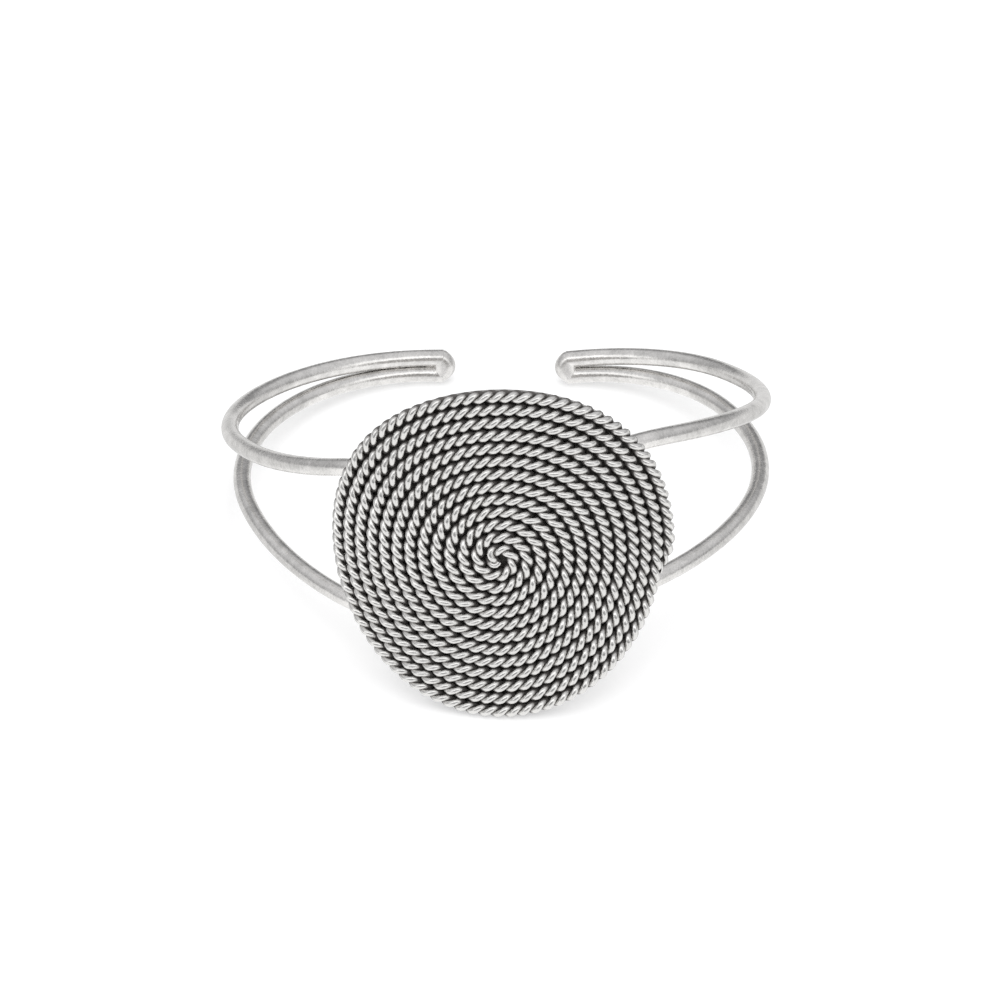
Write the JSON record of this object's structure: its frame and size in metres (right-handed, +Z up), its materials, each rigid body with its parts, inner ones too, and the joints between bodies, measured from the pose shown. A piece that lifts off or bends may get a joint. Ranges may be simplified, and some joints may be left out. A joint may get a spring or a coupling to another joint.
{
  "type": "spiral bracelet",
  "caption": "Open cuff bracelet of round silver wires joined at rounded tips, carrying a round curved disc of twisted silver rope coiled into a flat spiral.",
  "frame": {"origin": "on the surface that the bracelet lies on, under the middle of its box", "axes": "+X across the cuff to the wearer's side of the disc, +Y from the disc back to the open tips, +Z up from the surface it lies on"},
  "size_m": [0.0626, 0.0584, 0.0374],
  "materials": {
    "satin_silver": "satin, tumbled round silver wire",
    "dark_silver": "matt, blackened silver sheet",
    "rope_silver": "polished twisted silver wire with blackened recesses"
  },
  "bodies": {
    "root": {"wire_cuff": "satin_silver", "back_plate": "dark_silver", "rope_spiral": "rope_silver"}
  },
  "joints": []
}
